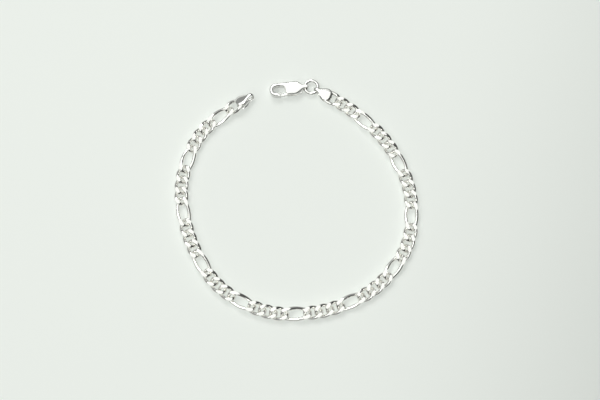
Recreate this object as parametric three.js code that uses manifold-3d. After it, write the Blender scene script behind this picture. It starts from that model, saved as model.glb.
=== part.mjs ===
// A flat-cut figaro chain bracelet: three short links and one long link in turn,
// a folded cap on each end, a jump ring and a trigger clasp. It lies open on its
// flat cut faces, as a nearly closed loop. Millimetres, +Z up, table at z = 0.

import * as THREE from 'three';
import { mergeVertices } from 'three/addons/utils/BufferGeometryUtils.js';
import Module from 'manifold-3d';

const wasm = await Module();
wasm.setup();

// ---------------------------------------------------------------- dimensions

const WIRE = 1.1;                     // diameter of the links' wire
const PLAY = 0.45;                    // free space between two linked wires
const CHAIN_WIDTH = 4.35;
const CHAIN_HEIGHT = 2.05;            // between the two flat cut faces
const SHORT_STEP = 3.25;              // length that one short link adds
const LONG_STEP = 6.45;               // length that one long link adds
const LINK_CORNER = 1.2;              // bend radius at a link's corners
const SHORT_TWIST = 55;               // roll of a short link's wire at its ends, degrees
const LONG_TWIST = 50;
const TWIST_EASE = 75;                // degrees; the more, the less the wire's ends turn
const PRESS = 0.66;                   // how far the twisted links are rolled flat
const TUBE_SIDES = 8;

const CAP_JOINT_HEIGHT = 1.71;        // the left cap lies rolled on its lower rim
const CAP_ROLL = 30;                  // degrees
const FIRST_LINK = { lift: 0.6, clear: 0.1, roll: 50 };      // it rises into the rolled cap
const CAP_THICKNESS = 2.5;
const CAP_SHEET = 0.35;
const CAP_EYE_X = 4.1;                // middle of the fold that the ring passes through
const CAP_POST = { x: -0.3, radius: 0.25 };

const RING_RADIUS = 1.93;             // to the middle of the wire
const RING_WIRE = 0.95;
const RING_HEIGHT = 1.22;
const RING_STEPS = 28;

const CLASP_HEADING = 184;            // degrees, from the ring out to the hook
const CLASP_THICKNESS = 2.6;
const CLASP_BEVEL = 0.2;
const CLASP_EYE = { x: -0.05, radius: 0.74, length: 3 };
const HOOK = { x: 8.45, y: 0.42, outer: 2.03, inner: 1.05 };
const PIVOT = { x: 4.3, y: 1.05, pin: 0.35, bore: 0.55 };
const SLOT_HEIGHT = 1.1;
const LEVER_THICKNESS = 0.8;
const JOIN = 0.1;                     // how far a pin or post is set into its plates

// Where the chain starts, and how it turns on the table. Each row is one stretch
// of links and the degrees that the chain turns, to the left, over that stretch.
const START = { x: -18.13, y: 28.81, heading: -148 };
const STRETCHES = [
  { links: ['short'], turn: 0 },
  { links: ['long'], turn: 5 },
  { links: ['short', 'short', 'short', 'long'], turn: 34.5 },
  { links: ['short', 'short', 'short', 'long'], turn: 29 },
  { links: ['short', 'short', 'short', 'long'], turn: 19.5 },
  { links: ['short', 'short', 'short', 'long'], turn: 32.5 },
  { links: ['short', 'short', 'short', 'long'], turn: 29.5 },
  { links: ['short', 'short', 'short', 'long'], turn: 21.5 },
  { links: ['short', 'short', 'short', 'long'], turn: 30 },
  { links: ['short', 'short', 'short', 'long'], turn: 35 },
  { links: ['short', 'short', 'short', 'long'], turn: 27 },
  { links: ['short', 'short', 'short', 'long'], turn: 23.5 },
  { links: ['short', 'short', 'short'], turn: 11 },
];

const degrees = THREE.MathUtils.degToRad;
const silver = { color: 0xd9dbd8, roughness: 0.16, metalness: 1 };

// ------------------------------------------------------------ solid geometry

function toSolid(geometry) {
  const bare = geometry.clone();
  bare.deleteAttribute('normal');
  bare.deleteAttribute('uv');
  const merged = mergeVertices(bare, 1e-4);
  const mesh = new wasm.Mesh({
    numProp: 3,
    vertProperties: new Float32Array(merged.attributes.position.array),
    triVerts: new Uint32Array(merged.index.array),
  });
  return new wasm.Manifold(mesh);
}

function toGeometry(solid) {
  const mesh = solid.getMesh();
  const geometry = new THREE.BufferGeometry();
  geometry.setAttribute('position', new THREE.BufferAttribute(mesh.vertProperties, 3));
  geometry.setIndex(new THREE.BufferAttribute(mesh.triVerts, 1));
  geometry.computeVertexNormals();
  return geometry;
}

function outline(points) {
  return new THREE.Shape(points.map(([x, y]) => new THREE.Vector2(x, y)));
}

// A plate standing on z = low, cut to the given outline.
function plate(shape, low, high, bevel = 0) {
  const geometry = new THREE.ExtrudeGeometry(shape, {
    depth: high - low - 2 * bevel,
    bevelEnabled: bevel > 0,
    bevelThickness: bevel,
    bevelSize: bevel,
    bevelOffset: -bevel,
    bevelSegments: 1,
    curveSegments: 10,
  });
  geometry.translate(0, 0, low + bevel);
  return geometry;
}

function upright(radius, low, high, x, y) {
  const cylinder = new THREE.CylinderGeometry(radius, radius, high - low, 16);
  cylinder.rotateX(Math.PI / 2);
  cylinder.translate(x, y, (high + low) / 2);
  return cylinder;
}

// ---------------------------------------------------------------------- links

// The middle line of a link's wire: an oval with round corners, twisted about the
// link's length so that its ends stand across those of the links beside it, and
// then rolled flatter.
class LinkPath extends THREE.Curve {
  constructor(halfLength, rollBack, rollFront) {
    super();
    const x = halfLength - LINK_CORNER;
    const y = (CHAIN_WIDTH - WIRE) / 2 - LINK_CORNER;
    this.oval = new THREE.Path();
    this.oval.absarc(x, -y, LINK_CORNER, -Math.PI / 2, 0);
    this.oval.absarc(x, y, LINK_CORNER, 0, Math.PI / 2);
    this.oval.absarc(-x, y, LINK_CORNER, Math.PI / 2, Math.PI);
    this.oval.absarc(-x, -y, LINK_CORNER, Math.PI, 1.5 * Math.PI);
    this.oval.closePath();
    this.halfLength = halfLength;
    this.rollBack = rollBack;
    this.rollFront = rollFront;
  }

  getPoint(t, target = new THREE.Vector3()) {
    const { x, y } = this.oval.getPointAt(t % 1);
    const ease = degrees(TWIST_EASE);
    const twist = Math.sin(ease * Math.abs(x) / this.halfLength) / Math.sin(ease);
    const roll = degrees(x < 0 ? this.rollBack : this.rollFront) * twist;
    return target.set(x, y * Math.cos(roll), PRESS * y * Math.sin(roll));
  }
}

const reach = (step) => (step + WIRE + PLAY) / 2;     // half length to the wire's middle

function linkGeometry(step, steps, rollBack, rollFront = -rollBack) {
  const path = new LinkPath(reach(step), rollBack, rollFront);
  const tube = new THREE.TubeGeometry(path, steps, WIRE / 2, TUBE_SIDES, true);
  const position = tube.attributes.position;
  for (let i = 0; i < position.count; i += 1) {
    const cut = CHAIN_HEIGHT / 2;
    position.setZ(i, THREE.MathUtils.clamp(position.getZ(i), -cut, cut));
  }
  return tube;
}

// ------------------------------------------------------------------- end caps

// The cap's half width, and its height as a share of the full height, along its
// length. x = 0 is where it holds the chain's end link.
const CAP_OUTLINE = [
  { x: -0.75, half: 0.55, height: 1 },
  { x: -0.5, half: 1.15, height: 1 },
  { x: 0.1, half: 1.66, height: 1 },
  { x: 0.9, half: 1.85, height: 1 },
  { x: 1.7, half: 1.66, height: 1 },
  { x: 2.5, half: 1.2, height: 1 },
  { x: 3.3, half: 0.8, height: 1 },
  { x: 4.1, half: 0.64, height: 1 },
  { x: 4.85, half: 0.58, height: 1 },
  { x: 5.15, half: 0.5, height: 0.8 },
];

// A domed strip folded at its narrow end, which leaves an eye for the ring there.
function capGeometry() {
  const rise = CAP_THICKNESS / 2;
  const gap = rise - CAP_SHEET;
  const past = 2;                     // how far the cut between the leaves runs past them
  const sides = 16;
  const squared = (value) => Math.sign(value) * Math.sqrt(Math.abs(value));
  const rings = CAP_OUTLINE.map(({ x, half, height }) => (
    Array.from({ length: sides }, (_, i) => {
      const angle = (i + 0.5) * 2 * Math.PI / sides;
      return [x, half * squared(Math.cos(angle)), height * rise * squared(Math.sin(angle))];
    })
  ));
  const points = rings.flat();
  const last = points.length - sides;
  const faces = [];
  for (let i = 0; i < last; i += 1) {
    const next = i % sides === sides - 1 ? i + 1 - sides : i + 1;
    faces.push(i, next, next + sides, i, next + sides, i + sides);
  }
  for (let i = 1; i < sides - 1; i += 1) {
    faces.push(0, i + 1, i);
    faces.push(last, last + i, last + i + 1);
  }
  const body = new THREE.BufferGeometry();
  body.setAttribute('position', new THREE.Float32BufferAttribute(points.flat(), 3));
  body.setIndex(faces);

  const side = new THREE.Shape();
  side.moveTo(-past, -gap);
  side.lineTo(CAP_EYE_X, -gap);
  side.absarc(CAP_EYE_X, 0, gap, -Math.PI / 2, Math.PI / 2);
  side.lineTo(-past, gap);
  const between = new THREE.ExtrudeGeometry(side, { depth: 2 * past, bevelEnabled: false, curveSegments: 8 });
  between.rotateX(Math.PI / 2);
  between.translate(0, past, 0);

  const post = upright(CAP_POST.radius, -gap - JOIN, gap + JOIN, CAP_POST.x, 0);
  return toGeometry(toSolid(body).subtract(toSolid(between)).add(toSolid(post)));
}

// ---------------------------------------------------------------------- clasp

// x runs from the ring's hole to the hook, y from the spine to the lever's side.
function claspBodyShape() {
  const shape = outline([
    [-1.05, -0.5], [0.5, -0.62], [1.6, -1.5], [2.5, -1.95], [4, -1.95], [6, -1.76], [7.4, -1.6],
  ]);
  shape.absarc(HOOK.x, HOOK.y, HOOK.outer, degrees(-105), degrees(95), false);
  shape.lineTo(7.25, 2.4);
  shape.lineTo(7.3, 1.95);
  shape.lineTo(8, 1.42);
  shape.absarc(HOOK.x, HOOK.y, HOOK.inner, degrees(85), degrees(-95), true);
  shape.lineTo(7.1, -0.72);
  shape.lineTo(6.2, -0.45);
  shape.lineTo(5.8, 0.05);
  shape.lineTo(5.7, 1);
  shape.lineTo(5.45, 1.6);
  shape.lineTo(5.1, 2.05);
  shape.lineTo(4, 2.1);
  shape.lineTo(2.5, 2.03);
  shape.lineTo(1.6, 1.5);
  shape.lineTo(0.5, 0.62);
  shape.lineTo(-1.05, 0.5);
  return shape;
}

function claspBodyGeometry() {
  const middle = CLASP_THICKNESS / 2;
  const low = middle - SLOT_HEIGHT / 2;
  const high = middle + SLOT_HEIGHT / 2;
  const body = toSolid(plate(claspBodyShape(), 0, CLASP_THICKNESS, CLASP_BEVEL));
  const slot = toSolid(plate(outline([
    [6.4, -0.3], [3.5, -0.3], [1.9, 0.6], [0.5, 0.75], [0.5, 2.8], [6.4, 2.8],
  ]), low, high));
  const eye = new THREE.CylinderGeometry(CLASP_EYE.radius, CLASP_EYE.radius, CLASP_EYE.length, 20);
  eye.translate(CLASP_EYE.x, 0, middle);
  const pin = upright(PIVOT.pin, low - JOIN, high + JOIN, PIVOT.x, PIVOT.y);
  return toGeometry(body.subtract(slot).subtract(toSolid(eye)).add(toSolid(pin)));
}

// The sprung lever: its nose closes the hook, its other end is the thumb piece.
function leverGeometry() {
  const shape = outline([
    [7.05, 2.32], [7.08, 1.88], [7.6, 1.48], [7.4, 1.2], [6.7, 1.7], [5.7, 1.5], [5.05, 0.6],
    [4.3, 0.2], [3.55, 0.5], [2.6, 1.05], [1.3, 1.1], [0.75, 1.3], [1.2, 1.85], [2.2, 1.95],
    [3.4, 1.75], [4.6, 1.9], [5.4, 2.25],
  ]);
  const low = (CLASP_THICKNESS - LEVER_THICKNESS) / 2;
  const lever = toSolid(plate(shape, low, low + LEVER_THICKNESS));
  const bore = toSolid(upright(PIVOT.bore, 0, CLASP_THICKNESS, PIVOT.x, PIVOT.y));
  return toGeometry(lever.subtract(bore));
}

// ------------------------------------------------------------------- assembly

const bracelet = new THREE.Group();

function addPiece(parent, name, geometry) {
  const mesh = new THREE.Mesh(geometry, new THREE.MeshStandardMaterial(silver));
  mesh.name = name;
  parent.add(mesh);
  return mesh;
}

// A frame of axes with x along a heading on the table.
function addFrame(x, y, z, heading, roll = 0) {
  const frame = new THREE.Group();
  frame.position.set(x, y, z);
  frame.rotation.set(degrees(roll), 0, degrees(heading), 'ZYX');
  bracelet.add(frame);
  return frame;
}

const shortLink = linkGeometry(SHORT_STEP, 22, SHORT_TWIST);
const longLink = linkGeometry(LONG_STEP, 30, LONG_TWIST);
const firstLink = linkGeometry(SHORT_STEP, 22, FIRST_LINK.roll, -SHORT_TWIST);
const lastLink = linkGeometry(SHORT_STEP, 22, SHORT_TWIST, 0);
const cap = capGeometry();

const at = new THREE.Vector2(START.x, START.y);
let heading = START.heading;
const count = { short: 0, long: 0 };

const leftCap = addFrame(at.x, at.y, CAP_JOINT_HEIGHT, heading + 180, -CAP_ROLL);
addPiece(leftCap, 'end_cap_left', cap);

const linkTotal = STRETCHES.reduce((sum, { links }) => sum + links.length, 0);
for (const { links, turn } of STRETCHES) {
  for (const kind of links) {
    heading += turn / links.length;
    const step = kind === 'short' ? SHORT_STEP : LONG_STEP;
    const half = new THREE.Vector2(step / 2, 0).rotateAround(new THREE.Vector2(), degrees(heading));
    at.add(half);
    count[kind] += 1;
    const done = count.short + count.long;
    const endLink = { 1: firstLink, [linkTotal]: lastLink }[done];
    const geometry = endLink ?? (kind === 'short' ? shortLink : longLink);
    const frame = addFrame(at.x, at.y, CHAIN_HEIGHT / 2, heading);
    const link = addPiece(frame, `${kind}_link_${String(count[kind]).padStart(2, '0')}`, geometry);
    if (done === 1) {
      link.position.z = FIRST_LINK.lift / 2 + FIRST_LINK.clear;
      link.rotation.y = Math.asin(FIRST_LINK.lift / step);
    }
    at.add(half);
  }
}

const rightCap = addFrame(at.x, at.y, CAP_THICKNESS / 2, heading);
addPiece(rightCap, 'end_cap_right', cap);

const eyeToRing = new THREE.Vector2(CAP_EYE_X + RING_RADIUS, 0)
  .rotateAround(new THREE.Vector2(), degrees(heading));
const ringCentre = at.clone().add(eyeToRing);
const ringFrame = addFrame(ringCentre.x, ringCentre.y, RING_HEIGHT, CLASP_HEADING);
addPiece(ringFrame, 'jump_ring', new THREE.TorusGeometry(RING_RADIUS, RING_WIRE / 2, TUBE_SIDES, RING_STEPS));

const ringToClasp = new THREE.Vector2(RING_RADIUS, 0)
  .rotateAround(new THREE.Vector2(), degrees(CLASP_HEADING));
const claspAt = ringCentre.clone().add(ringToClasp);
const clasp = addFrame(claspAt.x, claspAt.y, 0, CLASP_HEADING);
addPiece(clasp, 'clasp_body', claspBodyGeometry());
addPiece(clasp, 'clasp_lever', leverGeometry());

// The origin is the middle of the bracelet's box, on the table.
const box = new THREE.Box3().setFromObject(bracelet, true);
bracelet.position.set(-(box.min.x + box.max.x) / 2, -(box.min.y + box.max.y) / 2, -box.min.z);

const part = new THREE.Group();
part.add(bracelet);
part.updateMatrixWorld(true);

export default part;
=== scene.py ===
import math

import bmesh
import bpy
from mathutils import Euler, Matrix, Vector


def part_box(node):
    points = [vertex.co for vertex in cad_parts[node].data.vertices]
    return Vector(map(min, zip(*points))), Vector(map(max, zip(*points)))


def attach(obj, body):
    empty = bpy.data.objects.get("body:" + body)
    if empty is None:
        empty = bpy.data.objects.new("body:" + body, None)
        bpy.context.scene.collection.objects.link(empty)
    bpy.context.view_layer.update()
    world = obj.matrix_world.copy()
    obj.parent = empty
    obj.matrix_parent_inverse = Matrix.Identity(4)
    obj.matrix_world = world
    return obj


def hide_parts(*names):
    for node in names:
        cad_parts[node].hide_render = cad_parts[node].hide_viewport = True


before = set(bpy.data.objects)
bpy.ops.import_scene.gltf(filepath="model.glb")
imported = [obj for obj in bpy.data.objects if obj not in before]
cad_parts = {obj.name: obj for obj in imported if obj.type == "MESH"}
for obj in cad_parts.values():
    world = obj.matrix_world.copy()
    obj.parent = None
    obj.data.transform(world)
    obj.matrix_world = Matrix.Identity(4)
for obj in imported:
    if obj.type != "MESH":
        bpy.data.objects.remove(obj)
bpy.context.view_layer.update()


# ---------------------------------------------------------------- chain links
# The figaro chain: three short links and one long link in turn, each bent from
# round silver wire, twisted so that it lies flat in its neighbours, and soldered
# shut. The chain is rolled flatter, and both its faces are cut with a diamond tool.

MM = 0.001
WIRE = 1.1 * MM
PLAY = 0.45 * MM                        # what a link can slide in its neighbour
CHAIN_WIDTH = 4.35 * MM
CUT_HEIGHT = 2.05 * MM                  # from the lower cut face to the upper one
SHORT_STEP = 3.25 * MM                  # the chain's length for each short link
LONG_STEP = 6.45 * MM
LINK_CORNER = 1.2 * MM                  # bend radius at a link's corners
SHORT_TWIST = math.radians(55)
LONG_TWIST = math.radians(50)
TWIST_EASE = math.radians(75)           # the more, the less the wire's ends turn
PRESS = 0.66                            # height left by the rolling, as a share
FIRST_LINK_LIFT = 0.6 * MM              # the first link rises into its rolled cap
FIRST_LINK_CLEAR = 0.14 * MM
FIRST_LINK_TWIST = math.radians(50)
CHAIN_START = (-18.13, 28.81)           # where the left cap ends, in millimetres
CHAIN_HEADING = -148                    # degrees, as it leaves that cap
SHORT_RUN = ("short",) * 3
PATTERN_TURNS = (34.5, 29, 19.5, 32.5, 29.5, 21.5, 30, 35, 27, 23.5)
# Runs of links, each with the chain's turn to the left over it, in degrees.
CHAIN_RUNS = [
    (("short",), 0), (("long",), 5),
    *[(SHORT_RUN + ("long",), turn) for turn in PATTERN_TURNS],
    (SHORT_RUN, 11),
]
CUT_TILTS = (-2.5, -1.2, 0, 1.2, 2.5)   # degrees off level; each link gets one
TILT_SEED = 5
FACET_SLOPE = math.radians(6)           # a face more level than this has been cut
CORNER_STEPS = 16
SHORT_LINK_STEPS = 60
LONG_LINK_STEPS = 88
WIRE_SIDES = 20
SHARP_EDGE = math.radians(24)

scene = bpy.context.scene


def plug(tree, socket, value):
    """Gives an input its value, or the output that feeds it."""
    if isinstance(value, bpy.types.NodeSocket):
        tree.links.new(value, socket)
    else:
        socket.default_value = value


def add(tree, kind, sockets=(), **settings):
    """Adds a node and returns its first output.
    Sockets are pairs of an input and its value or its feed."""
    node = tree.nodes.new(kind)
    for name, value in settings.items():
        setattr(node, name, value)
    for place, value in sockets:
        plug(tree, node.inputs[place], value)
    return next((socket for socket in node.outputs if socket.enabled), None)


def maths(tree, operation, *values):
    return add(tree, "ShaderNodeMath", list(enumerate(values)), operation=operation)


def times(tree, first, second):
    return maths(tree, "MULTIPLY", first, second)


def remap(tree, value, start, end, low, high, **settings):
    """A value that runs from start to end, made to run from low to high."""
    return add(tree, "ShaderNodeMapRange", [
        ("Value", value), (1, start), (2, end), (3, low), (4, high)], **settings)


def vector(tree, **parts):
    return add(tree, "ShaderNodeCombineXYZ", list(parts.items()))


def split(tree, source):
    return add(tree, "ShaderNodeSeparateXYZ", [(0, source)]).node.outputs


def named(tree, title, kind):
    return add(tree, "GeometryNodeInputNamedAttribute", [("Name", title)], data_type=kind)


def new_tree(name, sockets):
    """A geometry tree with the named inputs. Returns it with its input node's outputs."""
    tree = bpy.data.node_groups.new(name, "GeometryNodeTree")
    for title, kind in sockets:
        tree.interface.new_socket(title, in_out="INPUT", socket_type="NodeSocket" + kind)
    tree.interface.new_socket(
        "Geometry", in_out="OUTPUT", socket_type="NodeSocketGeometry")
    return tree, tree.nodes.new("NodeGroupInput").outputs


def show(name, data):
    piece = bpy.data.objects.new(name, data)
    scene.collection.objects.link(piece)
    return piece


def settle(piece):
    """Replaces a piece's mesh by what its modifiers make of it, and removes them."""
    bpy.context.view_layer.update()
    evaluated = piece.evaluated_get(bpy.context.evaluated_depsgraph_get())
    made = bpy.data.meshes.new_from_object(evaluated)
    piece.modifiers.clear()
    piece.data = made
    made.name = piece.name
    return piece


def grow(piece, tree, **values):
    """Runs a geometry tree on a piece, and keeps the result as its plain mesh."""
    modifier = piece.modifiers.new(tree.name, "NODES")
    modifier.node_group = tree
    for item in tree.interface.items_tree:
        if item.in_out == "INPUT" and item.name in values:
            modifier[item.identifier] = values[item.name]
    return settle(piece)


# One link lies along X. It is an oval with round corners, whose ends are rolled
# about X in opposite ways. The wire that then stands above or below the cutting
# planes is cut away.
link_tree, given = new_tree("Figaro link", [
    ("Step", "Float"), ("Wire", "Float"), ("Play", "Float"), ("Width", "Float"),
    ("Corner", "Float"), ("Back twist", "Float"), ("Front twist", "Float"),
    ("Ease", "Float"), ("Press", "Float"), ("Cut height", "Float"), ("Cut tilt", "Float"),
    ("Steps", "Int"), ("Sides", "Int")])
room = maths(link_tree, "ADD", given["Wire"], given["Play"])
reach = times(link_tree, maths(link_tree, "ADD", given["Step"], room), 0.5)
bend = times(link_tree, maths(link_tree, "SUBTRACT", given["Width"], given["Wire"]), 0.5)
box = add(link_tree, "GeometryNodeCurvePrimitiveQuadrilateral", [
    ("Width", times(link_tree, reach, 2.0)), ("Height", times(link_tree, bend, 2.0))])
oval = add(link_tree, "GeometryNodeFilletCurve", [
    ("Curve", box), ("Radius", given["Corner"]), ("Count", CORNER_STEPS)], mode="POLY")
even = add(link_tree, "GeometryNodeResampleCurve", [
    ("Curve", oval), ("Count", given["Steps"])], mode="COUNT")
position = split(link_tree, add(link_tree, "GeometryNodeInputPosition"))
in_front = maths(link_tree, "GREATER_THAN", position["X"], 0.0)
end_twist = remap(
    link_tree, in_front, 0.0, 1.0, given["Back twist"], given["Front twist"])
along = maths(link_tree, "DIVIDE", maths(link_tree, "ABSOLUTE", position["X"]), reach)
eased = maths(link_tree, "SINE", times(link_tree, along, given["Ease"]))
most = maths(link_tree, "SINE", given["Ease"])
roll = times(link_tree, end_twist, maths(link_tree, "DIVIDE", eased, most))
pressed = times(link_tree, position["Y"], given["Press"])
twisted = add(link_tree, "GeometryNodeSetPosition", [("Geometry", even), ("Position", vector(
    link_tree, X=position["X"],
    Y=times(link_tree, position["Y"], maths(link_tree, "COSINE", roll)),
    Z=times(link_tree, pressed, maths(link_tree, "SINE", roll))))])
wire_section = add(link_tree, "GeometryNodeCurvePrimitiveCircle", [
    ("Resolution", given["Sides"]), ("Radius", times(link_tree, given["Wire"], 0.5))])
tube = add(link_tree, "GeometryNodeCurveToMesh", [
    ("Curve", twisted), ("Profile Curve", wire_section)])
# The cuts leave the wire that is inside a slab, longer and wider than the link.
slab = add(link_tree, "GeometryNodeMeshCube", [("Size", vector(
    link_tree, X=times(link_tree, reach, 4.0), Y=times(link_tree, given["Width"], 3.0),
    Z=given["Cut height"]))])
# The cut leans about the line through a face's two facets, so neither moves up or down.
slant = maths(link_tree, "DIVIDE", bend, reach)
lean = vector(
    link_tree, X=given["Cut tilt"],
    Y=times(link_tree, times(link_tree, given["Cut tilt"], -1.0), slant))
leaning = add(link_tree, "GeometryNodeTransform", [("Geometry", slab), ("Rotation", lean)])
# A second slab, higher than the link, cuts its underside level, so that it lies flat.
twice = add(link_tree, "GeometryNodeTransform", [("Geometry", slab), ("Scale", (1, 1, 2))])
level = add(link_tree, "GeometryNodeTransform", [
    ("Geometry", twice),
    ("Translation", vector(link_tree, Z=times(link_tree, given["Cut height"], 0.5)))])
cut = add(link_tree, "GeometryNodeMeshBoolean", [
    (1, tube), (1, leaning), (1, level)], operation="INTERSECT", solver="EXACT")
upright = split(link_tree, add(link_tree, "GeometryNodeInputNormal"))["Z"]
flat = maths(
    link_tree, "GREATER_THAN", maths(link_tree, "ABSOLUTE", upright), math.cos(FACET_SLOPE))
marked = add(link_tree, "GeometryNodeStoreNamedAttribute", [
    ("Geometry", cut), ("Name", "cut"), ("Value", flat)], data_type="FLOAT", domain="FACE")
add(link_tree, "NodeGroupOutput", [("Geometry", marked)])

# The whole chain: a link of the right kind on every point, each cut at its own tilt.
chain_tree, given = new_tree("Figaro chain", [
    ("Geometry", "Geometry"), ("Short step", "Float"), ("Long step", "Float"),
    ("Wire", "Float"), ("Play", "Float"), ("Width", "Float"), ("Corner", "Float"),
    ("Short twist", "Float"), ("Long twist", "Float"), ("First twist", "Float"),
    ("Ease", "Float"), ("Press", "Float"), ("Cut height", "Float"),
    ("Steps on a short link", "Int"), ("Steps on a long link", "Int"), ("Sides", "Int"),
    ("Sharp edge", "Float"), ("Seed", "Int"), ("Metal", "Material")])
short_counter = times(chain_tree, given["Short twist"], -1.0)
long_counter = times(chain_tree, given["Long twist"], -1.0)
# Each kind's step, wire steps, back twist and front twist. The last link's front
# end lies flat in its cap.
link_kinds = {
    "short": ("Short step", "Steps on a short link", "Short twist", short_counter),
    "long": ("Long step", "Steps on a long link", "Long twist", long_counter),
    "first": ("Short step", "Steps on a short link", "First twist", short_counter),
    "last": ("Short step", "Steps on a short link", "Short twist", 0.0),
}
tilt_count = len(CUT_TILTS)
any_tilt = add(chain_tree, "FunctionNodeRandomValue", [
    (4, 0), (5, tilt_count - 1), ("Seed", given["Seed"])], data_type="INT")
kind_place = times(chain_tree, named(chain_tree, "kind", "INT"), float(tilt_count))
variant = maths(chain_tree, "ADD", kind_place, any_tilt)
alike = [(title, given[title]) for title in (
    "Wire", "Play", "Width", "Corner", "Ease", "Press", "Cut height", "Sides")]
chain = add(chain_tree, "GeometryNodeJoinGeometry").node
for kind, (step, steps, back_twist, front_twist) in enumerate(link_kinds.values()):
    for number, tilt in enumerate(CUT_TILTS):
        link = chain_tree.nodes.new("GeometryNodeGroup")
        link.node_tree = link_tree
        for title, value in alike + [
                ("Step", given[step]), ("Steps", given[steps]),
                ("Back twist", given[back_twist]), ("Front twist", front_twist),
                ("Cut tilt", math.radians(tilt))]:
            plug(chain_tree, link.inputs[title], value)
        chosen = maths(
            chain_tree, "COMPARE", variant, float(kind * tilt_count + number), 0.5)
        placed = add(chain_tree, "GeometryNodeInstanceOnPoints", [
            ("Points", given["Geometry"]), ("Selection", chosen),
            ("Instance", link.outputs[0]),
            ("Rotation", named(chain_tree, "lie", "FLOAT_VECTOR"))])
        chain_tree.links.new(placed, chain.inputs[0])
whole = add(chain_tree, "GeometryNodeRealizeInstances", [("Geometry", chain.outputs[0])])
smooth = add(chain_tree, "GeometryNodeSetShadeSmooth", [("Geometry", whole)])
sharp = maths(
    chain_tree, "GREATER_THAN", add(chain_tree, "GeometryNodeInputMeshEdgeAngle"),
    given["Sharp edge"])
crisp = add(chain_tree, "GeometryNodeSetShadeSmooth", [
    ("Geometry", smooth), ("Selection", sharp), ("Shade Smooth", False)], domain="EDGE")
finished = add(chain_tree, "GeometryNodeSetMaterial", [
    ("Geometry", crisp), ("Material", given["Metal"])])
add(chain_tree, "NodeGroupOutput", [("Geometry", finished)])

CLOUD_SCALE = 900.0                     # patches of noise to the metre
HAZE_SCALE = 3200.0
GRAIN_SCALE = 9000.0
CLOUD_DARKNESS = (0.975, 0.975, 0.97)   # the clouds' tone as a share of the metal's
HAZE_SPREAD = (0.8, 1.25)               # least and most roughness, as shares
NOISE_RANGE = (0.3, 0.7)                # where nearly all of the noise lies
GRAIN_HEIGHT = 0.002 * MM
GRAIN_STRENGTH = 0.1
UNSHADED_SLOPE = 0.94                     # the normal's Z down to which no shade is painted
FULL_SHADE_SLOPE = 0.6                     # and below which the full painted shade lies
CUT_ROUGHNESS = 0.06


def silver(name, tone, roughness, side_shade):
    """Sterling silver: a faintly warm white metal, polished, with slight clouding and
    haze. Side shade is the share of its brightness taken from its steep sides: painted
    shade, standing in for the dark reflections along its edges."""
    material = bpy.data.materials.new(name)
    material.use_nodes = True
    tree = material.node_tree
    shader = tree.nodes["Principled BSDF"]
    shader.inputs["Metallic"].default_value = 1
    coordinates = add(tree, "ShaderNodeTexCoord").node.outputs

    def noise(scale, detail):
        return add(tree, "ShaderNodeTexNoise", [
            ("Vector", coordinates["Object"]), ("Scale", scale), ("Detail", detail)])

    clouded = [part * share for part, share in zip(tone, CLOUD_DARKNESS)]
    colour = add(tree, "ShaderNodeMix", [
        ("Factor", noise(CLOUD_SCALE, 3.0)), (6, (*clouded, 1)), (7, (*tone, 1))],
        data_type="RGBA").node.outputs[2]
    upright = maths(tree, "ABSOLUTE", split(tree, coordinates["Normal"])["Z"])
    # Painted shade: the colour is darker on steep sides, in place of the dark reflections
    # along the edges.
    painted_side_shade = remap(tree, upright, UNSHADED_SLOPE, FULL_SHADE_SLOPE, 1.0, 1.0 - side_shade)
    darkened = add(tree, "ShaderNodeVectorMath", [
        (0, colour), ("Scale", painted_side_shade)], operation="SCALE")
    tree.links.new(darkened, shader.inputs["Base Color"])
    least, most = (roughness * share for share in HAZE_SPREAD)
    hazed = remap(tree, noise(HAZE_SCALE, 4.0), *NOISE_RANGE, least, most)
    tree.links.new(hazed, shader.inputs["Roughness"])
    bump = add(tree, "ShaderNodeBump", [
        ("Strength", GRAIN_STRENGTH), ("Distance", GRAIN_HEIGHT),
        ("Height", noise(GRAIN_SCALE, 2.0))])
    tree.links.new(bump, shader.inputs["Normal"])
    return material


# The cut faces are smoother than the wire between them.
# Its steep sides are painted a little darker, as painted shade.
link_silver = silver(
    "link silver", tone=(0.972, 0.962, 0.945), roughness=0.1, side_shade=0.08)
tree = link_silver.node_tree
roughness = tree.nodes["Principled BSDF"].inputs["Roughness"]
wire_roughness = roughness.links[0].from_socket
cut_mark = add(tree, "ShaderNodeAttribute", attribute_name="cut").node.outputs["Fac"]
tree.links.new(add(tree, "ShaderNodeMix", [
    ("Factor", cut_mark), (2, wire_roughness), (3, CUT_ROUGHNESS)]), roughness)

# Each link is turned from the one before it by an even share of its run's turn.
spots = []
at, heading = Vector(CHAIN_START) * MM, CHAIN_HEADING
for run, turn in CHAIN_RUNS:
    for kind in run:
        heading += turn / len(run)
        step = SHORT_STEP if kind == "short" else LONG_STEP
        half = Matrix.Rotation(math.radians(heading), 2) @ Vector((step / 2, 0))
        at = at + half
        spots.append((kind, at.copy(), heading))
        at = at + half
chain_end, end_heading = at, heading

low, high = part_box("long_link_01")
first_long = next(place for kind, place, _ in spots if kind == "long")
shift = ((low + high) / 2).xy - first_long

spot_mesh = bpy.data.meshes.new("link places")
spot_mesh.from_pydata(
    [(*(place + shift), CUT_HEIGHT / 2) for _, place, _ in spots], [], [])
kinds = spot_mesh.attributes.new("kind", "INT", "POINT")
lies = spot_mesh.attributes.new("lie", "FLOAT_VECTOR", "POINT")
kind_names = [kind for kind, _, _ in spots]
kind_names[0], kind_names[-1] = "first", "last"
for number, (_, _, heading) in enumerate(spots):
    kinds.data[number].value = list(link_kinds).index(kind_names[number])
    lies.data[number].vector = (0, 0, math.radians(heading))
spot_mesh.vertices[0].co.z += FIRST_LINK_LIFT / 2 + FIRST_LINK_CLEAR
lies.data[0].vector.y = math.asin(FIRST_LINK_LIFT / SHORT_STEP)

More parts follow.
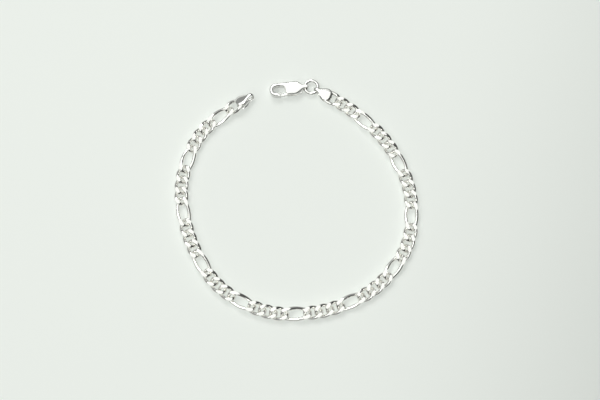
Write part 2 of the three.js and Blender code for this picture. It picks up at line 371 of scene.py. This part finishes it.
links = grow(show("figaro_links", spot_mesh), chain_tree, **{
    "Short step": SHORT_STEP, "Long step": LONG_STEP, "Wire": WIRE, "Play": PLAY,
    "Width": CHAIN_WIDTH, "Corner": LINK_CORNER, "Short twist": SHORT_TWIST,
    "Long twist": LONG_TWIST, "First twist": FIRST_LINK_TWIST, "Ease": TWIST_EASE,
    "Press": PRESS, "Cut height": CUT_HEIGHT, "Steps on a short link": SHORT_LINK_STEPS,
    "Steps on a long link": LONG_LINK_STEPS, "Sides": WIRE_SIDES,
    "Sharp edge": SHARP_EDGE, "Seed": TILT_SEED, "Metal": link_silver})
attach(links, "bracelet")
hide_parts(*[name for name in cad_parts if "_link_" in name])


# ------------------------------------------------------------------- end caps
# A pear-shaped strip of sheet silver, domed and folded over at its narrow end.
# The leaves close over the chain's end link, which a rivet post holds between
# them, and the fold is the eye for the jump ring.

CAP_JOINT_HEIGHTS = {"left": 1.71 * MM, "right": 1.25 * MM}     # above the board
CAP_ROLL = math.radians(-30)            # how far the left cap has rolled over
CAP_CROWN = 1.25 * MM                   # from the cap's middle to a leaf's outside
CAP_DOME = 0.38 * MM                    # how deep the leaf is domed
CAP_EDGE = math.sin(math.radians(78))   # how far out on the dome the leaf ends
CAP_SHEET = 0.3 * MM
CAP_SOFT_EDGE = 0.09 * MM
CAP_WIDEST = 0.9 * MM                   # places along the cap, from its joint
CAP_EYE_X = 4.1 * MM                    # where the fold begins
CAP_TIP_X = 5.15 * MM
CAP_POST_X = -0.3 * MM
CAP_ROUND_END = 1.65 * MM
CAP_HALF_WIDTH = 1.85 * MM
CAP_NECK = 0.62 * MM                    # half the width where the fold begins
CAP_FOLD_PINCH = 0.12                   # the fold's tip is narrower by this share
CAP_POST = 0.25 * MM
CAP_POST_LENGTH = 1.8 * MM
CAP_SIDES, CAP_ROUND_STEPS, CAP_TAPER_STEPS, CAP_FOLD_STEPS = 14, 12, 20, 16
SHARP_CORNER = math.radians(50)         # edges sharper than this are softened
SAME_PLACE = 0.002 * MM


def cap_half_width(x):
    share = min(1, max(0, (x - CAP_WIDEST) / (CAP_EYE_X - CAP_WIDEST)))
    return CAP_NECK + (CAP_HALF_WIDTH - CAP_NECK) * (0.5 + 0.5 * math.cos(math.pi * share))


def cap_section(x):
    """Points across one leaf at x, as (y, drop below the crown)."""
    back = max(0, (CAP_WIDEST - x) / CAP_ROUND_END)
    half = cap_half_width(x)
    edge = math.sqrt(max(0, CAP_EDGE ** 2 - back ** 2))
    points = []
    for number in range(CAP_SIDES + 1):
        across = edge * math.sin(math.pi * (number / CAP_SIDES - 0.5))
        slope = math.sqrt(max(0, 1 - back ** 2 - across ** 2))
        points.append((half * across, CAP_DOME * (1 - slope)))
    return points


def sheet_mesh(name, rows):
    """A mesh of rows of points, each as long as the next, with faces between them."""
    bm = bmesh.new()
    made = [[bm.verts.new(point) for point in row] for row in rows]
    for row, after in zip(made, made[1:]):
        for number in range(len(row) - 1):
            bm.faces.new((row[number], after[number], after[number + 1], row[number + 1]))
    bmesh.ops.remove_doubles(bm, verts=bm.verts, dist=SAME_PLACE)
    bmesh.ops.recalc_face_normals(bm, faces=bm.faces)
    mesh = bpy.data.meshes.new(name)
    bm.to_mesh(mesh)
    return mesh


def cap_mesh():
    """The cap's outside: over the upper leaf, round the fold, and back under the lower."""
    round_end = CAP_WIDEST - CAP_ROUND_END * CAP_EDGE
    leaf = []
    for number in range(CAP_ROUND_STEPS):
        turn = math.radians(90 * number / CAP_ROUND_STEPS)
        leaf.append(CAP_WIDEST + (round_end - CAP_WIDEST) * math.cos(turn))
    for number in range(CAP_TAPER_STEPS):
        leaf.append(CAP_WIDEST + (CAP_EYE_X - CAP_WIDEST) * number / CAP_TAPER_STEPS)
    fold_length = CAP_TIP_X - CAP_EYE_X
    rows = []
    for x in leaf:
        rows.append([(x, y, CAP_CROWN - drop) for y, drop in cap_section(x)])
    for number in range(CAP_FOLD_STEPS + 1):
        angle = math.radians(90 - 180 * number / CAP_FOLD_STEPS)
        out = Vector((fold_length * math.cos(angle), 0, CAP_CROWN * math.sin(angle)))
        normal = Vector((math.cos(angle) / fold_length, 0, math.sin(angle) / CAP_CROWN))
        normal.normalize()
        narrow = 1 - CAP_FOLD_PINCH * math.cos(angle)
        rows.append([
            Vector((CAP_EYE_X, y * narrow, 0)) + out - normal * drop
            for y, drop in cap_section(CAP_EYE_X)])
    for x in reversed(leaf):
        rows.append([(x, y, drop - CAP_CROWN) for y, drop in cap_section(x)])
    return sheet_mesh("leaves", rows)


def soften_edges(piece, width, segments):
    edge = piece.modifiers.new("Soft edge", "BEVEL")
    edge.width = width
    edge.segments = segments
    edge.limit_method = "ANGLE"
    edge.angle_limit = SHARP_CORNER


def add_rod(bm, radius, length, place, sides):
    """Adds a round rod, along Z of its place."""
    bmesh.ops.create_cone(
        bm, cap_ends=True, segments=sides, radius1=radius, radius2=radius, depth=length,
        matrix=place)


def polish(piece, metal):
    """Gives a piece its metal, and shades it smoothly, with even light on flat faces."""
    piece.data.materials.clear()
    piece.data.materials.append(metal)
    for face in piece.data.polygons:
        face.use_smooth = True
    weighted = piece.modifiers.new("Even shading", "WEIGHTED_NORMAL")
    weighted.keep_sharp = True
    settle(piece)


# Its steep sides are painted darker, as painted shade.
fitting_silver = silver(
    "fitting silver", tone=(0.97, 0.962, 0.948), roughness=0.12, side_shade=0.35)

for side, roll, place, heading in [
        ("left", CAP_ROLL, Vector(CHAIN_START) * MM, CHAIN_HEADING + 180),
        ("right", 0, chain_end, end_heading)]:
    cap = show(f"{side}_end_cap_leaves", cap_mesh())
    sheet = cap.modifiers.new("Sheet", "SOLIDIFY")
    sheet.thickness = CAP_SHEET
    sheet.offset = -1
    sheet.use_even_offset = True
    soften_edges(cap, CAP_SOFT_EDGE, segments=3)
    settle(cap)
    bm = bmesh.new()
    bm.from_mesh(cap.data)
    post_place = Matrix.Translation((CAP_POST_X, 0, 0))
    add_rod(bm, CAP_POST, CAP_POST_LENGTH, post_place, sides=24)
    lie = Euler((roll, 0, math.radians(heading))).to_matrix().to_4x4()
    spot = Matrix.Translation((*(place + shift), CAP_JOINT_HEIGHTS[side]))
    bmesh.ops.transform(bm, matrix=spot @ lie, verts=bm.verts)
    bm.to_mesh(cap.data)
    polish(cap, fitting_silver)
    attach(cap, "bracelet")
    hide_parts(f"end_cap_{side}")


# ------------------------------------------------------------------ jump ring
# A ring of silver wire through the right cap's eye and the clasp's tail, a little
# thinner than the chain's wire, and soldered shut where its ends meet.

RING_RADIUS = 1.93 * MM                 # to the middle of the wire
RING_WIRE = 0.95 * MM
RING_STEPS = 120
RING_SIDES = 24
SOLDER_ANGLE = 200                      # degrees round the ring
SOLDER_SWELL, SOLDER_REACH = 0.05, 9    # a share of the wire, and degrees
SEAM_DEPTH, SEAM_REACH = 0.09, 1.8

low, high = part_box("jump_ring")
ring_centre = (low + high) / 2

rows = []
for number in range(RING_STEPS + 1):
    angle = 2 * math.pi * number / RING_STEPS
    off = math.degrees(angle) - SOLDER_ANGLE
    swell = (
        1 + SOLDER_SWELL * math.exp(-(off / SOLDER_REACH) ** 2)
        - SEAM_DEPTH * math.exp(-(off / SEAM_REACH) ** 2))
    out = Vector((math.cos(angle), math.sin(angle), 0))
    row = []
    for side in range(RING_SIDES + 1):
        turn = 2 * math.pi * side / RING_SIDES
        row.append(
            ring_centre + out * (RING_RADIUS + RING_WIRE / 2 * swell * math.cos(turn))
            + Vector((0, 0, RING_WIRE / 2 * swell * math.sin(turn))))
    rows.append(row)
ring = show("soldered_ring", sheet_mesh("ring", rows))
for face in ring.data.polygons:
    face.use_smooth = True
ring.data.materials.append(fitting_silver)
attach(ring, "bracelet")
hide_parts("jump_ring")


# ----------------------------------------------------------------- clasp body
# The trigger clasp's body is cast: a flat-topped case with soft edges, a hook
# at one end and a tail with a hole for the ring at the other. A slot in its
# side holds the lever on a cross pin.

CLASP_THICKNESS = 2.6 * MM
CLASP_HEADING = math.radians(184)       # the way its hook points from the ring
CLASP_SOFT_EDGE = 0.05 * MM
SLOT_LOW, SLOT_HIGH = 0.75 * MM, 1.85 * MM
HOOK = (8.45, 0.42)                     # in millimetres from the clasp's tail
HOOK_OUTER = 2.03
HOOK_INNER = 1.05
TAIL_HOLE = 0.74 * MM
TAIL_HOLE_X = -0.05 * MM
PIVOT = (4.3 * MM, 1.05 * MM)
PIN = 0.35 * MM
PIN_LENGTH = 1.3 * MM
THROUGH = 3 * MM                        # a cutter's length, past both faces
REPEATED = 0.02 * MM                    # points of an outline closer than this are one
SHARPEST_INSET = 0.6                    # keeps the inset small at sharp corners


def arc(centre, radius, start, end, steps, rounding):
    angles = [math.radians(start + (end - start) * n / steps) for n in range(steps + 1)]
    return [
        (centre[0] + radius * math.cos(a), centre[1] + radius * math.sin(a), rounding)
        for a in angles]


def flowing(points, steps=6):
    """A smooth line through the points, each an x, a y and an edge rounding."""
    ends = [Vector(points[0]) * 2 - Vector(points[1])] + [Vector(p) for p in points]
    ends.append(Vector(points[-1]) * 2 - Vector(points[-2]))
    line = []
    for a, b, c, d in zip(ends, ends[1:], ends[2:], ends[3:]):
        for n in range(steps):
            t = n / steps
            line.append(0.5 * (
                2 * b + (c - a) * t + (2 * a - 5 * b + 4 * c - d) * t * t
                + (3 * b - a - 3 * c + d) * t ** 3))
    return line + [ends[-2]]


def from_millimetres(line):
    """The line's points in metres, leaving out any that repeats the one before it."""
    kept = []
    for point in line:
        point = Vector(point) * MM
        if not kept or (point.xy - kept[-1].xy).length > REPEATED:
            kept.append(point)
    if (kept[0].xy - kept[-1].xy).length < REPEATED:
        kept.pop()
    return kept


def rounded_plate(outline, low, high, rounds=6):
    """A plate between two heights, with its edges rounded by each outline point's own
    amount. All in metres."""
    count = len(outline)
    flat = [Vector(point[:2]) for point in outline]
    inward = []
    for number, point in enumerate(flat):
        before = (point - flat[number - 1]).normalized()
        after = (flat[(number + 1) % count] - point).normalized()
        middle = Vector((-(before.y + after.y), before.x + after.x)).normalized()
        aligned = middle.dot(Vector((-before.y, before.x)))
        inward.append(middle / max(SHARPEST_INSET, aligned))
    rows = []
    for turn in [math.pi / 2 * n / rounds for n in range(rounds + 1)]:
        rows.append((1 - math.sin(turn), low, 1 - math.cos(turn)))
    for turn in [math.pi / 2 * (1 - n / rounds) for n in range(rounds + 1)]:
        rows.append((1 - math.sin(turn), high, math.cos(turn) - 1))
    bm = bmesh.new()
    made = []
    for inset, height, rise in rows:
        made.append([
            bm.verts.new((*(point + inner * inset * spot[2]), height + rise * spot[2]))
            for point, inner, spot in zip(flat, inward, outline)])
    for row, above in zip(made, made[1:]):
        for number in range(count):
            after = (number + 1) % count
            bm.faces.new((row[number], row[after], above[after], above[number]))
    bm.faces.new(reversed(made[0]))
    bm.faces.new(made[-1])
    bmesh.ops.remove_doubles(bm, verts=bm.verts, dist=SAME_PLACE / 2)
    bmesh.ops.recalc_face_normals(bm, faces=bm.faces)
    return bm


def show_plate(name, plate):
    mesh = bpy.data.meshes.new(name)
    plate.to_mesh(mesh)
    return show(name, mesh)


def cut_away(piece, cutter):
    """Cuts a hidden shape, given as a bmesh, out of a piece."""
    tool = show_plate("cutter", cutter)
    cutting = piece.modifiers.new("Cut", "BOOLEAN")
    cutting.object = tool
    cutting.operation = "DIFFERENCE"
    cutting.solver = "EXACT"
    settle(piece)
    bpy.data.objects.remove(tool)


def put_in_place(piece):
    """Softens a clasp piece's edges, and moves it from the origin to the ring."""
    soften_edges(piece, CLASP_SOFT_EDGE, segments=2)
    settle(piece)
    piece.data.transform(
        Matrix.Translation((ring_centre.x, ring_centre.y, 0))
        @ Matrix.Rotation(CLASP_HEADING, 4, "Z") @ Matrix.Translation((RING_RADIUS, 0, 0)))


# The outline, in millimetres, with the edge rounding at each point: along the spine,
# round the hook and back inside it, down the mouth, and along the lever's side.
body_line = from_millimetres(
    flowing([
        (-0.62, -0.5, 0.3), (0.5, -0.62, 0.35), (1.6, -1.5, 0.6), (2.5, -1.93, 0.85),
        (4, -1.95, 0.9), (6, -1.78, 0.85), (7.2, -1.66, 0.7), (7.92, -1.54, 0.6)])
    + arc(HOOK, HOOK_OUTER, start=-105, end=92, steps=44, rounding=0.6)
    + flowing([
        (8.3, 2.45, 0.4), (7.75, 2.45, 0.2), (7.3, 2.43, 0.08), (7.2, 2.33, 0.06),
        (7.32, 2.18, 0.08), (7.62, 1.93, 0.12), (8.05, 1.62, 0.2), (8.4, 1.48, 0.25)],
        steps=4)
    + arc(HOOK, HOOK_INNER, start=87, end=-90, steps=36, rounding=0.3)
    + flowing([
        (8.45, -0.63, 0.32), (7.7, -0.7, 0.36), (7.05, -0.68, 0.36), (6.4, -0.5, 0.3),
        (5.95, -0.2, 0.2), (5.76, 0.3, 0.14), (5.7, 1, 0.12), (5.5, 1.58, 0.12),
        (5.15, 2.02, 0.14)])
    + flowing([
        (5.0, 2.07, 0.35), (4, 2.1, 0.5), (2.6, 2.03, 0.5), (1.6, 1.5, 0.45),
        (0.5, 0.64, 0.35), (-0.62, 0.5, 0.3)])
    + arc((-0.55, 0), 0.5, start=97, end=263, steps=10, rounding=0.3))
slot_line = from_millimetres([
    (6.6, -0.3, 0), (3.5, -0.3, 0), (1.9, 0.6, 0), (0.5, 0.75, 0), (0.5, 2.8, 0),
    (6.6, 2.8, 0)])
slot_line.reverse()

clasp = show_plate("clasp_casting", rounded_plate(body_line, 0, CLASP_THICKNESS))
cut_away(clasp, rounded_plate(slot_line, SLOT_LOW, SLOT_HIGH, rounds=1))
tail_hole = bmesh.new()
add_rod(
    tail_hole, TAIL_HOLE, THROUGH, Matrix.Translation((TAIL_HOLE_X, 0, CLASP_THICKNESS / 2))
    @ Matrix.Rotation(math.pi / 2, 4, "X"), sides=40)
cut_away(clasp, tail_hole)
pin_place = Matrix.Translation((*PIVOT, CLASP_THICKNESS / 2))
bm = bmesh.new()
bm.from_mesh(clasp.data)
add_rod(bm, PIN, PIN_LENGTH, pin_place, sides=32)
bm.to_mesh(clasp.data)

# Its steep sides are painted darker, as painted shade.
clasp_silver = silver(
    "clasp silver", tone=(0.97, 0.962, 0.95), roughness=0.14, side_shade=0.28)
put_in_place(clasp)
polish(clasp, clasp_silver)
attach(clasp, "bracelet")
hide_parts("clasp_body")


# ---------------------------------------------------------------- clasp lever
# The sprung lever, cast in silver, turns on the pin: its nose closes the hook
# from inside, and the thumb piece at its other end opens it.

LEVER_LOW, LEVER_HIGH = 0.9 * MM, 1.7 * MM
LEVER_BORE = 0.55 * MM

lever_line = from_millimetres(flowing([
    (7.08, 2.3, 0.1), (7.05, 2.1, 0.1), (7.12, 1.86, 0.1), (7.56, 1.5, 0.08),
    (7.52, 1.3, 0.08), (7.35, 1.26, 0.1), (6.7, 1.66, 0.12), (6.2, 1.65, 0.12),
    (5.7, 1.42, 0.12), (5.05, 0.62, 0.12), (4.3, 0.22, 0.12), (3.55, 0.5, 0.12),
    (2.6, 1.02, 0.12), (1.3, 1.12, 0.12), (0.78, 1.32, 0.12), (0.85, 1.62, 0.12),
    (1.2, 1.83, 0.12), (2.2, 1.93, 0.12), (3.4, 1.77, 0.12), (4.6, 1.88, 0.12),
    (5.5, 2.22, 0.12), (6.3, 2.3, 0.12), (6.9, 2.34, 0.12)], steps=4))
lever_line.reverse()

lever = show_plate(
    "trigger_lever", rounded_plate(lever_line, LEVER_LOW, LEVER_HIGH, rounds=4))
bore = bmesh.new()
add_rod(bore, LEVER_BORE, THROUGH, pin_place, sides=40)
cut_away(lever, bore)
put_in_place(lever)
polish(lever, clasp_silver)
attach(lever, "lever")
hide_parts("clasp_lever")


# --------------------------------------------------------------------- studio
# A plain pale board under a wide soft panel and three soft lamps. The board glows
# faintly with painted light, less towards the right, and light may bounce many times,
# so that the links' insides are bright and the shadows weak.

BOARD_REACH = 2                         # metres, from its middle to each side
BOARD_COLOUR = (0.5, 0.514, 0.498, 1)
BOARD_ROUGHNESS = 0.8
GLOW_COLOUR = (0.958, 1, 0.95, 1)
GLOW_FALLS_TOWARDS = (0.95, -0.3, 0)
GLOW_FALLS_OVER = (20 * MM, 200 * MM)
GLOW_STRENGTHS = (0.386, 0.075)
ROOM_TINT = (0.975, 1, 0.965)
# The room's brightness at heights from the horizon, 0, to overhead, 1.
ROOM_FLOOR = 0.12
ROOM_HEIGHTS = [(0.48, 0.1), (0.68, 0.62), (0.8, 0.62), (0.9, 0.0)]
DARK_SIDE = math.radians(-25)
SIDE_RANGE = (-0.95, 0.55)              # from the bright side towards the dark one
SIDE_STRENGTHS = (2.9, 0.18)

scene.view_settings.view_transform = "Standard"
scene.cycles.max_bounces = 32
scene.cycles.diffuse_bounces = 12
scene.cycles.glossy_bounces = 24
scene.cycles.blur_glossy = 0


def towards(tree, source, direction):
    """How far a place or a direction lies along a fixed one."""
    return add(tree, "ShaderNodeVectorMath", [
        (0, source), (1, direction)], operation="DOT_PRODUCT").node.outputs["Value"]


board_mesh = bpy.data.meshes.new("board")
board_mesh.from_pydata([
    (x * BOARD_REACH, y * BOARD_REACH, 0)
    for x, y in ((-1, -1), (1, -1), (1, 1), (-1, 1))], [], [(0, 1, 2, 3)])
board = show("board", board_mesh)
board_paint = bpy.data.materials.new("board paint")
board_paint.use_nodes = True
tree = board_paint.node_tree
shader = tree.nodes["Principled BSDF"]
shader.inputs["Base Color"].default_value = BOARD_COLOUR
shader.inputs["Roughness"].default_value = BOARD_ROUGHNESS
# Painted light: the board's glow lifts its shadows and the links' insides, and its fall
# towards the right is a painted falloff of the light.
shader.inputs["Emission Color"].default_value = GLOW_COLOUR
on_board = add(tree, "ShaderNodeTexCoord").node.outputs["Object"]
glow = remap(
    tree, towards(tree, on_board, GLOW_FALLS_TOWARDS), *GLOW_FALLS_OVER, *GLOW_STRENGTHS,
    interpolation_type="SMOOTHSTEP")
tree.links.new(glow, shader.inputs["Emission Strength"])
board.data.materials.append(board_paint)


def lamp(name, place, size, brightness, turn=None):
    """A flat soft lamp that faces the bracelet, or straight down if it is given a turn."""
    light = bpy.data.lights.new(name, "AREA")
    light.shape = "RECTANGLE"
    light.size, light.size_y = size
    light.energy = brightness * math.pi * size[0] * size[1]
    light.color = ROOM_TINT
    holder = show(name, light)
    holder.location = place
    if turn is None:
        holder.rotation_euler = holder.location.to_track_quat("Z", "Y").to_euler()
    else:
        holder.rotation_euler = (0, 0, math.radians(turn))


lamp("overhead panel", (-0.08, 0.05, 0.45), (0.5, 0.55), brightness=1.08, turn=-12)
lamp("window lamp", (-0.15, 0.62, 0.77), (0.36, 0.36), brightness=5.2)
lamp("left lamp", (-0.66, 0.1, 0.74), (0.3, 0.3), brightness=1.2)
lamp("near lamp", (-0.1, -0.66, 0.74), (0.3, 0.3), brightness=2.6)

world = bpy.data.worlds.new("room")
world.use_nodes = True
scene.world = world
tree = world.node_tree
facing = add(tree, "ShaderNodeTexCoord").node.outputs["Generated"]
ramp = add(tree, "ShaderNodeValToRGB", [("Fac", split(tree, facing)["Z"])]).node
ramp.color_ramp.elements.remove(ramp.color_ramp.elements[1])
ramp.color_ramp.elements[0].color = (ROOM_FLOOR, ROOM_FLOOR, ROOM_FLOOR, 1)
for height, level in ROOM_HEIGHTS:
    ramp.color_ramp.elements.new(height).color = (level, level, level, 1)
dark_way = (math.cos(DARK_SIDE), math.sin(DARK_SIDE), 0)
shade = remap(
    tree, towards(tree, facing, dark_way), *SIDE_RANGE, *SIDE_STRENGTHS,
    interpolation_type="SMOOTHSTEP")
tinted = add(tree, "ShaderNodeMix", [
    ("Factor", 1.0), (6, ramp.outputs[0]), (7, (*ROOM_TINT, 1))],
    data_type="RGBA", blend_type="MULTIPLY").node.outputs[2]
background = tree.nodes["Background"]
tree.links.new(tinted, background.inputs["Color"])
tree.links.new(shade, background.inputs["Strength"])

CAMERA_ELEVATION = math.radians(77)
CAMERA_DISTANCE = 0.4113
CAMERA_AIM = Vector((1.1, -0.36, 0)) * MM

camera_data = bpy.data.cameras.new("camera")
camera_data.lens = 85
camera_data.sensor_width = 36
camera_data.clip_start = 0.01
camera = show("camera", camera_data)
camera.location = CAMERA_AIM + CAMERA_DISTANCE * Vector(
    (0, -math.cos(CAMERA_ELEVATION), math.sin(CAMERA_ELEVATION)))
camera.rotation_euler = (math.pi / 2 - CAMERA_ELEVATION, 0, 0)
scene.camera = camera
